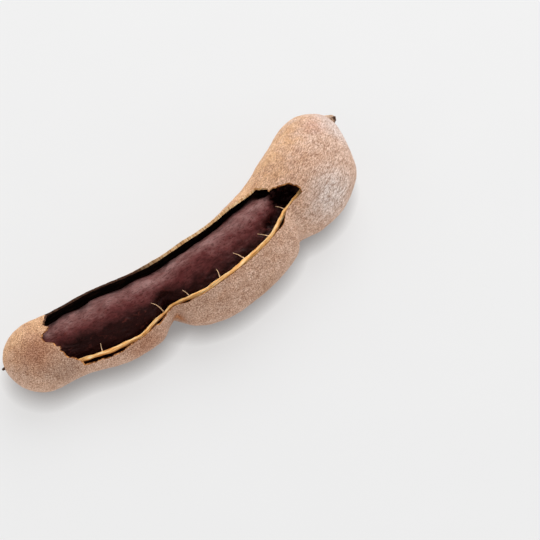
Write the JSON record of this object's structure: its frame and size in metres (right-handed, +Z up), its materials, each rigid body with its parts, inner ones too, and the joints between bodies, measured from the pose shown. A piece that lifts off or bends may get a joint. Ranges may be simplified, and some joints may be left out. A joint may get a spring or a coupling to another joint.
{
  "type": "tamarind pod",
  "caption": "Ripe curved tamarind pod lying on its side, with a window broken in the husk that shows the dark pulp, the fibrous vein and its rootlets.",
  "frame": {"origin": "middle of the pod's footprint, on the surface that it lies on", "axes": "+X along the pod's length toward the stalk, +Y toward the hollow side of its bend, +Z up through the broken window"},
  "size_m": [0.1339, 0.0418, 0.0245],
  "materials": {
    "husk": "matt",
    "pulp": "satin",
    "vein": "matt",
    "stalk": "matt"
  },
  "bodies": {
    "root": {"husk": "husk", "pulp": "pulp", "vein": "vein", "stalk": "stalk"}
  },
  "joints": []
}
